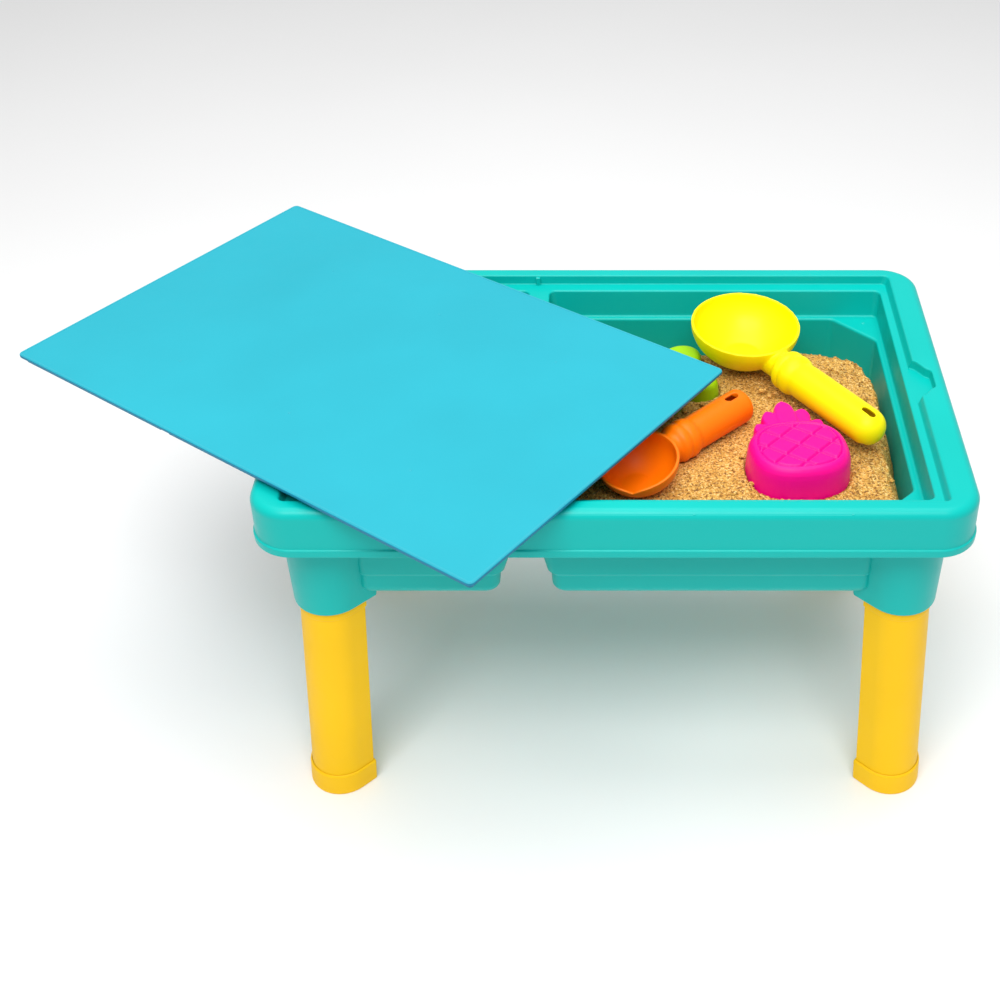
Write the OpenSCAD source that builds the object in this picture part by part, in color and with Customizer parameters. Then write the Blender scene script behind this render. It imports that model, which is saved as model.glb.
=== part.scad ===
// Sand and water table: a skirted tub with two basins on four splayed legs,
// a loose lid laid askew across the rim, and sand toys lying on the sand.
// Millimetres, +Z up, the floor is Z = 0.

/* [Table] */
// Outside width of the rim, left to right
table_w = 567; // [480:1:681]
// Outside depth of the rim, front to back
table_d = 371; // [330:1:446]
// Height of the rim's top above the floor
table_h = 340; // [285:5:420]
// Plan radius of the rim's outer corners
rim_corner_r = 34; // [28:1:40]

/* [Tub] */
// Wall thickness of the moulding
wall = 3; // [2.5:0.1:3.6]
// Width of the left and right rims, outer edge to lid opening
rim_side = 26.5; // [22:0.5:32]
// Width of the front and rear rims, outer edge to lid opening
rim_front = 18; // [15:0.5:22]
// Depth of the skirt that hangs from the rim
skirt_h = 43; // [36:1:52]
// Depth of the lid's seat below the rim's top
seat_depth = 9; // [7.5:0.1:10.8]
// Depth of the inner shelf below the rim's top
shelf_depth = 35; // [30:1:42]
// Depth of the basin floors below the rim's top
basin_depth = 114; // [95:1:123]
// Length of the chamfer across each basin's outer corners
corner_shelf = 37; // [33:1:44]
// Distance of the divider's middle from the tub's middle, towards the left
divider_off = 70.5; // [40:1:85]
// Thickness of the divider along its top
divider_w = 19; // [16:1:23]

/* [Legs] */
// Radius of a leg's rounded nose
leg_r = 26.5; // [22:0.5:30]
// Length of a leg's straight flanks
leg_flat = 15; // [12:0.5:18]
// Wall thickness of a leg
leg_wall = 2.6; // [2.1:0.1:3.2]
// Outward lean of a leg, sideways and lengthways, per unit of height
leg_lean = 0.0596; // [0.045:0.0001:0.072]
// Depth of the leg sockets' lower edge below the rim's top
socket_depth = 128.7; // [126:0.5:150]
// How far a leg reaches up inside its socket
spigot_h = 64; // [40:1:76]
// Height of the foot cap
foot_h = 23; // [18:1:28]
// Thickness of the foot cap's wall outside the leg
foot_wall = 1.8; // [1.5:0.1:2.4]

/* [Lid] */
// Clearance of the lid in its seat at the left and right
lid_gap_side = 1; // [0.8:0.1:2]
// Clearance of the lid in its seat at the front and rear
lid_gap_front = 0.8; // [0.6:0.1:1.2]
// Whole thickness of the lid
lid_h = 8.7; // [7.3:0.1:10.4]
// Thickness of the lid's plate
lid_plate = 3; // [2.5:0.1:3.6]
// Turn of the laid lid about the vertical
lid_turn = -35.6; // [-42:0.1:-30]
// Place of the laid lid's middle, sideways from the tub's middle
lid_x = -210; // [-225:1:-195]
// Place of the laid lid's middle, lengthways from the tub's middle
lid_y = 8.8; // [0:0.1:20]

/* [Sand toys] */
// Rim radius of the yellow scoop's bowl
bowl_r = 48.5; // [42:0.5:49]
// Depth of the yellow scoop's bowl
bowl_depth = 37; // [31:1:42]
// Reach of the yellow scoop's handle from the bowl's middle
handle_reach = 176; // [150:1:184]
// Radius of the yellow scoop's handle
handle_r = 15.8; // [13:0.2:18]
// Rim radius of the orange scoop's bowl
small_bowl_r = 34; // [29:1:38]
// Depth of the orange scoop's bowl
small_bowl_depth = 27; // [23:1:30]
// Reach of the orange scoop's handle from the bowl's middle
small_reach = 126; // [110:1:130]
// Radius of the orange scoop's handle
small_handle_r = 15; // [12.5:0.2:17.5]
// Width of the pineapple mould's body
pine_w = 85; // [72:1:90]
// Depth of the pineapple mould's body, front to back
pine_d = 75; // [64:1:78]
// Height of the pineapple mould
pine_h = 31; // [26:1:34]
// Reach of the star mould's arms
star_r = 53; // [44:1:54]
// Height of the star mould
star_h = 23; // [19:1:26]
// Wall thickness of the toys
toy_wall = 2.6; // [2.1:0.1:3.1]

/* [Fits] */
// Play between a leg and its socket, each side
leg_play = 0.4; // [0.3:0.05:0.6]
// Gap left between pieces that rest on one another
rest_gap = 0.35; // [0.3:0.05:0.5]

/* [Hidden] */
$fn = 96;
steps = 6;
hw = table_w / 2;
hd = table_d / 2;
lip = 1.5;
lip_h = 7;
draft = 0.5;
rim_round = 8;
seat_x = hw - rim_side;
seat_y = hd - rim_front;
seat_draft_x = 3;
seat_draft_y = 0.5;
well_x = seat_x - 9.5;
well_y = seat_y - 12.5;
well_draft_y = 3;
well_r = 6;
shelf_w = 6;
basin_x = well_x - 0.5 - shelf_w;
basin_y = well_y - well_draft_y - 4.5;
basin_r = 9;
floor_r = 8;
step_up = 21;
step_in = 1.5;
divider_right = divider_w / 2 - divider_off;
divider_left = divider_w / 2 + divider_off;
lean_right = 10.5;
lean_left = 15;
boss_r = leg_r + 4.3;
boss_flat = leg_flat + 9;
boss_draft = 0.085;
socket_x = hw - 46.6;
socket_y = hd - 55.4;
collar_h = 8;
collar_out = 0.9;
lid_w = 2 * (seat_x - seat_draft_x) - 2 * lid_gap_side;
lid_d = 2 * (seat_y - seat_draft_y) - 2 * lid_gap_front;
lid_r = 5;
lid_skirt_in = 4;
lid_skirt_t = 2.5;
lid_notch = 10;
key_x = divider_off + 1.5;
key_w = 4;
key_out = 2.6;
lid_cx = lid_w / 2 - lid_r;
lid_cy = lid_d / 2 - lid_r;
lid_reach_x = lid_cx * abs(cos(lid_turn)) + lid_cy * abs(sin(lid_turn)) + lid_r;
lid_reach_y = lid_cx * abs(sin(lid_turn)) + lid_cy * abs(cos(lid_turn)) + lid_r;
low_x = min(-hw, lid_x - lid_reach_x);
high_x = max(hw, lid_x + lid_reach_x);
low_y = min(-hd, lid_y - lid_reach_y);
high_y = max(hd, lid_y + lid_reach_y);
ox = -(low_x + high_x) / 2;
oy = -(low_y + high_y) / 2;
sand_x0 = divider_right + lean_right;
sand_mid = (sand_x0 + basin_x) / 2;
sand_half = (basin_x - sand_x0) / 2;
toy_fit = min(1, sand_half / 145.5, basin_y / 147.4);
tub_teal = [0.16, 0.76, 0.70];
leg_yellow = [0.98, 0.80, 0.05];

// ---- shapes built from stacked outlines ----

function unit(v) = v / norm(v);

// the arc that rounds corner p between neighbours a and b
function corner_arc(a, p, b, r, n) =
  let (u = unit(a - p), v = unit(b - p), half = acos(u * v) / 2)
  let (c = p + unit(u + v) * r / sin(half), t = r / tan(half))
  let (s = p + u * t - c, e = p + v * t - c, a0 = atan2(s[1], s[0]))
  let (turn = ((atan2(e[1], e[0]) - a0 + 540) % 360) - 180)
  [for (i = [0:n]) c + r * [cos(a0 + turn * i / n), sin(a0 + turn * i / n)]];

function rounded(poly, r, n = steps) =
  let (m = len(poly))
  [for (i = [0:m - 1]) each corner_arc(poly[(i + m - 1) % m], poly[i], poly[(i + 1) % m], r, n)];

function at_z(pts, z) = [for (p = pts) [p[0], p[1], z]];

function box_outline(x, y) = [[-x, -y], [x, -y], [x, y], [-x, y]];

function ring_box(x, y, r, z) = at_z(rounded(box_outline(x, y), r), z);

// solid through a list of equal-length outlines, lowest first; hub closes a star-like outline
// with a fan of triangles about the hub's place
module stack(rings, hub = undef) {
  n = len(rings[0]);
  m = len(rings);
  sides = [for (k = [0:m - 2], i = [0:n - 1]) let (j = (i + 1) % n)
    each [[k * n + i, (k + 1) * n + i, (k + 1) * n + j], [k * n + i, (k + 1) * n + j, k * n + j]]];
  bottom = is_undef(hub) ? [[for (i = [0:n - 1]) i]] : [for (i = [0:n - 1]) [i, (i + 1) % n, m * n]];
  top = is_undef(hub) ? [[for (i = [n - 1:-1:0]) (m - 1) * n + i]]
    : [for (i = [0:n - 1]) [(m - 1) * n + (i + 1) % n, (m - 1) * n + i, m * n + 1]];
  hubs = is_undef(hub) ? [] : [[hub[0], hub[1], rings[0][0][2]], [hub[0], hub[1], rings[m - 1][0][2]]];
  polyhedron(concat([for (g = rings) each g], hubs), concat(bottom, top, sides), convexity = 8);
}

// everything is drawn about the tub's middle with the rim's top at Z = 0
module placed() {
  translate([ox, oy, table_h]) children();
}

// ---- tub ----

module rim_outer() {
  stack(concat(
    [ring_box(hw, hd, rim_corner_r, -skirt_h), ring_box(hw, hd, rim_corner_r, 1 - skirt_h - 1 + lip_h),
     ring_box(hw - lip, hd - lip, rim_corner_r - lip, lip_h + 1.5 - skirt_h)],
    [for (a = [0:18:90]) let (i = lip + draft + rim_round * (1 - cos(a)))
      ring_box(hw - i, hd - i, rim_corner_r - i + 1, rim_round * (sin(a) - 1))]));
}

module rim_under() {
  i = lip + draft + wall;
  stack([ring_box(hw - wall, hd - wall, rim_corner_r - wall, -skirt_h - 1),
    ring_box(hw - wall, hd - wall, rim_corner_r - wall, lip_h - 1 - skirt_h),
    ring_box(hw - i, hd - i, rim_corner_r - i, lip_h + 1 - skirt_h),
    ring_box(hw - i - 0.5, hd - i - 0.5, rim_corner_r - i, -rim_round),
    ring_box(hw - i - 4, hd - i - 4, rim_corner_r - i - 4, -wall)]);
}

module seat_outer() {
  stack([ring_box(seat_x - seat_draft_x + wall, seat_y - seat_draft_y + wall, 7, -seat_depth - wall),
    ring_box(seat_x + wall, seat_y + wall, 7, -0.5)]);
}

module seat_cavity() {
  stack([ring_box(seat_x - seat_draft_x, seat_y - seat_draft_y, 5, -seat_depth),
    ring_box(seat_x, seat_y, 5, 0),
    ring_box(seat_x + 0.4, seat_y + 0.1, 5, 1)]);
}

// one basin, right-hand form; w is the thickness added outside the cavity
function basin_outline(x0, in, w) =
  let (x1 = basin_x - in + w, y = basin_y - in + w, c = corner_shelf + 0.586 * (w - in), s = x0 + in - w)
  [[s, -y], [x1 - c, -y], [x1, c - y], [x1, y - c], [x1 - c, y], [s, y]];

function basin_ring(x0, in, w, z) = at_z(rounded(basin_outline(x0, in, w), basin_r, 4), z);

module basin_body(x0, lean, w) {
  zf = floor_r - basin_depth;
  stack(concat(
    [for (a = [0:22.5:90]) basin_ring(x0 + lean, floor_r + step_in + 0.5 - (floor_r + w) * sin(a), w * 0,
      zf - (floor_r + w) * cos(a))],
    [basin_ring(x0 + lean * 0.96, step_in + 0.5, w, step_up - basin_depth - 2),
     basin_ring(x0 + lean * 0.8, 0.5, w, step_up - basin_depth + 2),
     basin_ring(x0 + lean * 0.56, 0.4, w, step_up + 14 - basin_depth),
     basin_ring(x0 + lean * 0.2, 0, w, w > 0 ? -shelf_depth - wall : -shelf_depth)]));
}

function well_outline(x0, x1, y) = [[x0, -y], [x1, -y], [x1, y], [x0, y]];

module well_body(x0, lean, w) {
  low = w > 0 ? shelf_depth + wall : shelf_depth;
  high = w > 0 ? seat_depth + wall / 2 : seat_depth - 1;
  stack([
    at_z(rounded(well_outline(x0 + lean * 0.2 - w, well_x - 0.5 + w, well_y - well_draft_y + w), well_r), -low),
    at_z(rounded(well_outline(x0 - w, well_x + w, well_y + w), well_r), -high)]);
}

// both basins, the left one being a narrower mirror image
module both_basins(w) {
  basin_body(divider_right, lean_right, w);
  mirror([1, 0, 0]) basin_body(divider_left, lean_left, w);
}

module both_wells(w) {
  well_body(divider_right, lean_right, w);
  mirror([1, 0, 0]) well_body(divider_left, lean_left, w);
}

// a leg's outline at height z, nose outwards, in the right rear quarter
function leg_outline(r, flat, z, n = 20) =
  let (d = -leg_lean * (z + socket_depth), c = [socket_x + d, socket_y + d], q = sqrt(0.5))
  concat([for (i = [0:n]) c + r * [cos(-45 + 180 * i / n), sin(-45 + 180 * i / n)]],
    [c + q * [-r - flat, r - flat], c + q * [r - flat, -r - flat]]);

function leg_ring(r, flat, z) = at_z(leg_outline(r, flat, z), z);

module boss() {
  top = shelf_depth + wall;
  rise = socket_depth - top;
  stack([leg_ring(boss_r - 2, boss_flat - 2, -socket_depth),
    leg_ring(boss_r, boss_flat, 2.5 - socket_depth),
    leg_ring(boss_r + boss_draft * rise, boss_flat, -top + 0.5)]);
}

module socket() {
  difference() {
    stack([leg_ring(leg_r + leg_play, leg_flat + leg_play, -socket_depth - 1),
      leg_ring(leg_r + leg_play, leg_flat + leg_play, spigot_h + 2 - socket_depth)]);
    basin_body(divider_right, lean_right, wall);
  }
}

module four() {
  for (sx = [0, 1], sy = [0, 1]) mirror([sx, 0, 0]) mirror([0, sy, 0]) children();
}

// finger notch cut into the inner edge of a side rim
module finger_notch() {
  translate([seat_x, 0, -seat_depth]) linear_extrude(seat_depth + 1)
    polygon([[-4, -29], [2, -28], [6, -21.5], [9.5, -17], [12.8, -15], [13.3, -12.5],
      [13.3, 7], [12.8, 9.5], [9.5, 11.5], [6, 17], [2, 24], [-4, 25]]);
}

module notch_wall() {
  translate([seat_x, 0, -seat_depth - wall]) linear_extrude(seat_depth + wall - 0.5)
    polygon([[-4, -32], [3, -31], [9, -24], [12.5, -20], [16.2, -17.5], [16.2, 12], [12.5, 14.5],
      [9, 20], [3, 27], [-4, 28]]);
}

// webs that stiffen the rim from below
module rim_webs() {
  for (sx = [-1, 1], y = [-108, 108]) translate([sx * (hw - wall - (rim_side - wall) / 2), y * table_d / 371,
    -wall - 11]) cube([rim_side - wall, 2, 22], center = true);
  for (sy = [-1, 1], x = [-180, -60, 60, 180])
    translate([x * table_w / 567, sy * (hd - rim_front / 2 - wall / 2), -wall - 8])
      cube([2, rim_front - wall, 16], center = true);
}

module tub() {
  color(tub_teal) placed() {
    difference() {
      union() {
        difference() {
          rim_outer();
          rim_under();
        }
        seat_outer();
        both_wells(wall);
        both_basins(wall);
        four() boss();
        rim_webs();
        notch_wall();
        mirror([1, 0, 0]) notch_wall();
      }
      seat_cavity();
      both_wells(0);
      both_basins(0);
      four() socket();
      finger_notch();
      mirror([1, 0, 0]) finger_notch();
    }
    for (sy = [-1, 1])
      translate([-key_x, sy * (seat_y - seat_draft_y - key_out / 2 + 0.5), -seat_depth / 2 - 1])
        cube([key_w, key_out + 1, seat_depth - 1], center = true);
  }
}

// ---- legs and feet ----

module leg() {
  foot_z = -table_h + wall + 0.2;
  edge = -socket_depth - rest_gap;
  difference() {
    union() {
      stack([leg_ring(leg_r + 0.5, leg_flat + 0.5, foot_z), leg_ring(leg_r, leg_flat, edge - collar_h / 2)]);
      stack([leg_ring(leg_r + collar_out - 0.4, leg_flat + collar_out - 0.4, edge - collar_h),
        leg_ring(leg_r + collar_out, leg_flat + collar_out, edge - collar_h + 1),
        leg_ring(leg_r + collar_out, leg_flat + collar_out, edge)]);
      difference() {
        stack([leg_ring(leg_r, leg_flat, edge - collar_h / 2),
          leg_ring(leg_r, leg_flat, spigot_h - socket_depth - 2),
          leg_ring(leg_r - 1.5, leg_flat - 1, spigot_h - socket_depth)]);
        basin_body(divider_right, lean_right, wall + leg_play);
      }
    }
    difference() {
      stack([leg_ring(leg_r - leg_wall + 0.5, leg_flat - leg_wall + 0.5, foot_z - 1),
        leg_ring(leg_r - leg_wall, leg_flat - leg_wall, edge - collar_h),
        leg_ring(leg_r - leg_wall, leg_flat - leg_wall, spigot_h - socket_depth + 1)]);
      basin_body(divider_right, lean_right, wall + leg_play + leg_wall);
    }
  }
}

module foot() {
  z = -table_h;
  r = leg_r + 0.5;
  f = leg_flat + 0.5;
  difference() {
    stack([leg_ring(r + foot_wall - 1, f + foot_wall - 1, z),
      leg_ring(r + foot_wall, f + foot_wall, z + 1.2),
      leg_ring(r + foot_wall, f + foot_wall, z + foot_h - 1.8),
      leg_ring(r + foot_wall - 1.1, f + foot_wall - 1.1, z + foot_h)]);
    stack([leg_ring(r + 0.25, f + 0.25, z + wall), leg_ring(r + 0.25, f + 0.25, z + foot_h + 1)]);
  }
}

module leg_at(sx, sy) {
  color(leg_yellow) placed() mirror([sx, 0, 0]) mirror([0, sy, 0]) leg();
}

module foot_at(sx, sy) {
  color(leg_yellow) placed() mirror([sx, 0, 0]) mirror([0, sy, 0]) foot();
}

module leg_rear_right() { leg_at(0, 0); }
module leg_rear_left() { leg_at(1, 0); }
module leg_front_right() { leg_at(0, 1); }
module leg_front_left() { leg_at(1, 1); }
module foot_rear_right() { foot_at(0, 0); }
module foot_rear_left() { foot_at(1, 0); }
module foot_front_right() { foot_at(0, 1); }
module foot_front_left() { foot_at(1, 1); }

// ---- lid ----

module plate(x, y, r, h) {
  linear_extrude(h) union() {
    square([x - 2 * r, y], center = true);
    square([x, y - 2 * r], center = true);
    for (sx = [-1, 1], sy = [-1, 1]) translate([sx * (x / 2 - r), sy * (y / 2 - r)]) circle(r, $fn = 48);
  }
}

module lid() {
  sx = lid_w - 2 * lid_skirt_in;
  sy = lid_d - 2 * lid_skirt_in;
  rib_h = lid_h - lid_plate - 1.5;
  color([0.27, 0.78, 0.88]) placed() translate([lid_x, lid_y, rest_gap]) rotate(lid_turn) {
    difference() {
      union() {
        translate([0, 0, lid_h - lid_plate]) plate(lid_w, lid_d, lid_r, lid_plate);
        plate(sx, sy, 3, lid_h - lid_plate);
      }
      translate([0, 0, -1]) plate(sx - 2 * lid_skirt_t, sy - 2 * lid_skirt_t, 2, lid_h - lid_plate + 1);
      for (x = [-key_x, key_x], y = [-sy / 2, sy / 2]) translate([x, y, (lid_h - lid_plate) / 2])
        cube([lid_notch, 4 * lid_skirt_t, lid_h - lid_plate + 2], center = true);
    }
    for (x = [-lid_w / 4, 0, lid_w / 4]) translate([x, 0, lid_h - lid_plate - rib_h / 2 + 0.1])
      cube([1.8, sy - 2, rib_h + 0.2], center = true);
    for (y = [-lid_d / 6, lid_d / 6]) translate([0, y, lid_h - lid_plate - rib_h / 2 + 0.1])
      cube([sx - 2, 1.8, rib_h + 0.2], center = true);
    for (x = [-130, 0, 130], y = [-92, 92]) translate([x * lid_w / 504, y * lid_d / 331, lid_h - 0.2])
      cylinder(h = 0.6, r = 1.1, $fn = 24);
  }
}

// ---- scoops ----

// a scoop about its bowl's rim centre, with the handle along +X; grow thickens it for clearances
function bowl_side(r, in, a) = r * 0.36 + (r * 0.64 - in) * pow(sin(a), 1.6);

module bowl_outer(r, depth, grow) {
  rotate_extrude() polygon(concat(
    [for (a = [0:10:90]) [bowl_side(r, 0, a) + grow, -(depth + grow) * cos(a)]],
    [[r + grow, 0.01], [0, 0.01], [0, -depth - grow]]));
}

module bowl_inner(r, depth) {
  rotate_extrude() polygon(concat(
    [for (a = [0:10:90]) [bowl_side(r, toy_wall, a), (toy_wall - depth) * cos(a)]],
    [[r - toy_wall, 30], [0, 30], [0, toy_wall - depth]]));
}

// handle profile as radius against distance, turned about the handle's axis
module handle_solid(reach, start, r, grow, round_end) {
  e = round_end ? r : r * 0.3;
  neck = r * 0.83 + grow;
  ring = r * 1.13 + grow;
  rotate([0, 90, 0]) rotate_extrude() polygon(concat(
    [[0, start * 0.5], [neck, start * 0.5], [neck, start + 4], [ring - 1, start + 8], [ring, start + 11],
     [ring, start + 22], [ring - 0.7, start + 25], [r + grow, start + 29], [r + grow, reach - e]],
    [for (a = [0:15:90]) [r - e + (e + grow) * cos(a), reach - e + (e + grow) * sin(a)]],
    [[0, reach + grow]]));
}

module handle_hollow(reach, start, r) {
  rotate([0, 90, 0]) rotate_extrude() polygon([[0, start + 9], [r - toy_wall - 1, start + 9],
    [r - toy_wall, start + 14], [r - toy_wall, reach - r * 0.75], [r * 0.45, reach - toy_wall - 1.5],
    [0, reach - toy_wall]]);
}

// tilt lowers the bowl's rim at the handle; rake is the fall of the rim away from the handle
module scoop(r, depth, reach, hr, drop, tilt, rake, round_end) {
  rise = r * tan(rake);
  difference() {
    union() {
      rotate([0, tilt, 0]) bowl_outer(r, depth, 0);
      if (rake > 0) cylinder(h = rise, r = r);
      translate([0, 0, -drop]) difference() {
        handle_solid(reach, r, hr, 0, round_end);
        handle_hollow(reach, r, hr);
        translate([r + 30, -hr * 0.66, -3 * hr]) cube([reach - r - 38, hr * 1.32, 3 * hr]);
      }
    }
    rotate([0, tilt, 0]) bowl_inner(r, depth);
    if (rake > 0) rotate([0, -rake, 0]) translate([-1.5 * r, -1.5 * r, 0]) cube([2.5 * r - 0.5, 3 * r, 40]);
    translate([reach - hr, 0, -drop]) hang_slot(hr);
  }
}

module hang_slot(hr) {
  linear_extrude(3 * hr) union() {
    square([8, 6], center = true);
    for (s = [-1, 1]) translate([s * 4, 0]) circle(3, $fn = 32);
  }
}

// a place on the sand as fractions of the toys' own spread about its middle
toy_spread = [145.75, 147.5] * toy_fit;

function spot(fx, fy, z) = [sand_mid + fx * toy_spread[0], fy * toy_spread[1], z];

// where each scoop lies: its bowl's rim centre, its heading, its bowl's tilt and its handle's drop
yellow_at = spot(0.143, 0.512, 5);
yellow_turn = -55;
yellow_tilt = 4;
yellow_drop = 17;
orange_at = spot(-0.53, -0.668, -14);
orange_turn = 43.9;
orange_rake = 11.5;
orange_drop = 7;

module yellow_placed() {
  translate(yellow_at) rotate(yellow_turn) scale(toy_fit) children();
}

module orange_placed() {
  translate(orange_at) rotate(orange_turn) scale(toy_fit) children();
}

module yellow_scoop() {
  color([1, 0.96, 0]) placed() yellow_placed()
    scoop(bowl_r, bowl_depth, handle_reach, handle_r, yellow_drop, yellow_tilt, 0, true);
}

module orange_scoop() {
  color([1, 0.5, 0]) placed() orange_placed() difference() {
    scoop(small_bowl_r, small_bowl_depth, small_reach, small_handle_r, orange_drop, 0, orange_rake, false);
    for (a = [141.6, 218.4]) rotate(a)
      translate([small_bowl_r, 0, sin(orange_rake) * small_bowl_r * cos(a) + 0.5])
        rotate([0, 90, 0]) cylinder(h = 14, r = 6, center = true, $fn = 32);
  }
}

// ---- moulds ----

pine_at = spot(0.376, -0.557, -41);
pine_turn = 8;
star_at = spot(-0.373, 0.281, -45);
star_turn = 53.5;

function oval(a, b, p, n = 40) = [for (i = [0:n - 1]) let (t = 360 * i / n, c = cos(t), s = sin(t))
  [a * sign(c) * pow(abs(c), p), b * sign(s) * pow(abs(s), p)]];

module pine_body(in, top) {
  a = pine_w / 2 - in;
  b = pine_d / 2 - in;
  stack([at_z(oval(a, b, 0.82), in > 0 ? -1 : 0), at_z(oval(a - 1, b - 1, 0.82), top * 0.6),
    at_z(oval(a - 2.2, b - 2.2, 0.82), top * 0.8), at_z(oval(a - 4.8, b - 4.8, 0.83), top * 0.94),
    at_z(oval(a - 9, b - 9, 0.85), top)]);
}

// one leaf: a blunt-pointed lobe reaching out from the body's middle
module leaf(len, w, h) {
  lobe = [[0, -w], [len - 1.3 * w, -w], [len - 0.4 * w, -w * 0.66], [len, -w * 0.2], [len, w * 0.2],
    [len - 0.4 * w, w * 0.66], [len - 1.3 * w, w], [0, w]];
  inner = [for (p = lobe) [p[0] * (1 - 0.25 * w / len), p[1] * 0.8]];
  stack([at_z(lobe, 0), at_z(lobe, h * 0.75), at_z(inner, h)]);
}

// the five leaves, numbered -2 to 2: length, half width and heading
function leaf_len(a) = pine_d * 0.91 - abs(a) * 9;
function leaf_w(a) = pine_w * (0.112 - 0.007 * abs(a));
function leaf_way(a) = 90 - a * (14.4 + 1.2 * abs(a));

module leaves(shrink, h) {
  for (a = [-2:2]) rotate(leaf_way(a)) leaf(leaf_len(a) - shrink, leaf_w(a) - shrink, h - abs(a) * 1.2);
}

module pine_placed() {
  translate(pine_at) rotate(pine_turn) scale(toy_fit) children();
}

module pineapple_mould() {
  color([1, 0.08, 0.62]) placed() pine_placed() difference() {
    union() {
      pine_body(0, pine_h);
      leaves(0, pine_h - 5);
    }
    pine_body(toy_wall, pine_h - toy_wall);
    translate([0, 0, -1]) leaves(toy_wall, pine_h - 5 - toy_wall);
    for (s = [-1, 1]) rotate(s * 41) for (k = [-1:1]) translate([0, k * 17.7, pine_h])
      cube([pine_w * (0.74 - 0.1 * abs(k)), 1.8, 2.4], center = true);
  }
}

function star_outline(r, in, n = 60) = [for (i = [0:n - 1]) let (t = 360 * i / n)
  (r * (0.58 + 0.42 * abs(cos(2.5 * (t - star_turn)))) - in) * [cos(t), sin(t)]];

function star_rings(in, top) =
  [for (row = [[0, 0], [1, 0.7], [3, 0.92], [6, 1]]) at_z(star_outline(star_r, in + row[0]), top * row[1])];

module star_placed() {
  translate(star_at) scale(toy_fit) children();
}

// one skin, down the inside and up the outside
module star_mould() {
  inner = star_rings(toy_wall, star_h - toy_wall);
  outer = star_rings(0, star_h);
  color([0.6, 0.85, 0.05]) placed() star_placed()
    stack(concat([for (k = [len(inner) - 1:-1:0]) inner[k]], outer), [0, 0]);
}

// ---- sand ----

function bump(x, y, cx, cy, s, h) = h * exp(-(pow(x - cx, 2) + pow(y - cy, 2)) / (2 * s * s));

function fall(t) = 1 / (1 + exp(-t));

// how far out a place is towards the heap's rear and right edges, 1 on the edge
function heap_edge(x, y) = pow(max(0, (x - 0.45 * sand_half) / (0.51 * sand_half)), 2.6)
  + pow(max(0, (y - 0.2 * basin_y) / (0.5 * basin_y)), 2.6);

// height of the sand's surface below the rim, about the sand's own middle
function sand_top(x, y) = -39 + bump(x, y, 105, 30, 36, 10) + bump(x, y, 60, 10, 34, 9)
  + bump(x, y, -20, -40, 50, 7) - bump(x, y, -145, -120, 40, 14)
  - 48 * fall(9 * (heap_edge(x, y) - 1)) + 0.7 * sin(x * 5 + y * 3) * cos(y * 6 - x * 2);

module sand_block() {
  nx = 24;
  ny = 22;
  dx = 2 * sand_half / nx;
  dy = 2 * basin_y / ny;
  tops = [for (j = [0:ny], i = [0:nx]) let (x = i * dx - sand_half, y = j * dy - basin_y)
    [sand_mid + x, y, sand_top(x, y)]];
  lows = [for (j = [0:ny], i = [0:nx]) [sand_mid + i * dx - sand_half, j * dy - basin_y, -basin_depth - 5]];
  n = (nx + 1) * (ny + 1);
  up = [for (j = [0:ny - 1], i = [0:nx - 1]) let (a = j * (nx + 1) + i, b = a + nx + 1)
    each [[a, b, a + 1], [a + 1, b, b + 1]]];
  down = [for (f = up) [f[2] + n, f[1] + n, f[0] + n]];
  edge = concat([for (i = [0:nx]) i], [for (j = [1:ny]) j * (nx + 1) + nx],
    [for (i = [nx - 1:-1:0]) ny * (nx + 1) + i], [for (j = [ny - 1:-1:1]) j * (nx + 1)]);
  m = len(edge);
  skirt = [for (k = [0:m - 1]) let (p = edge[k], q = edge[(k + 1) % m])
    each [[p, q, q + n], [p, q + n, p + n]]];
  polyhedron(concat(tops, lows), concat(up, down, skirt), convexity = 8);
}

// gap left in the sand round a scoop so that it can be lifted straight out
room = 0.9;
// sideways room for the star mould, which is drawn out at a slant from under the yellow scoop's rim
star_slip = 6;

module sand_fill() {
  color([0.84, 0.68, 0.42]) placed() difference() {
    intersection() {
      sand_block();
      basin_body(divider_right, lean_right, -0.5);
    }
    yellow_placed() {
      rotate([0, yellow_tilt, 0]) bowl_outer(bowl_r, bowl_depth, room);
      translate([0, 0, -yellow_drop]) handle_solid(handle_reach, bowl_r, handle_r, room, true);
    }
    orange_placed() {
      bowl_outer(small_bowl_r, small_bowl_depth, room);
      translate([0, 0, -orange_drop]) handle_solid(small_reach, small_bowl_r, small_handle_r, room, false);
    }
    translate([0, 0, -rest_gap]) pine_placed() linear_extrude(60) {
      polygon(oval(pine_w / 2 + 0.7, pine_d / 2 + 0.7, 0.82));
      for (a = [-2:2]) rotate(leaf_way(a)) translate([0, -leaf_w(a) - 0.7])
        square([leaf_len(a) + 0.7, 2 * leaf_w(a) + 1.4]);
    }
    for (i = [0:0.5:1]) translate([-i * star_slip, 0, -rest_gap]) star_placed()
      linear_extrude(60) polygon(star_outline(star_r, -0.8));
  }
}

tub();
lid();
leg_front_left();
leg_front_right();
leg_rear_left();
leg_rear_right();
foot_front_left();
foot_front_right();
foot_rear_left();
foot_rear_right();
sand_fill();
yellow_scoop();
orange_scoop();
pineapple_mould();
star_mould();
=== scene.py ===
"""Sand and water table: a moulded tub on four splayed legs, a loose lid laid askew, sand and sand toys.

Every piece is drawn in millimetres about the middle of the rim's top, and settled into the frame at the end.
"""

import math

import bmesh
import bpy
import numpy as np
from mathutils import Matrix, Vector, noise
from mathutils.bvhtree import BVHTree


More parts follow.
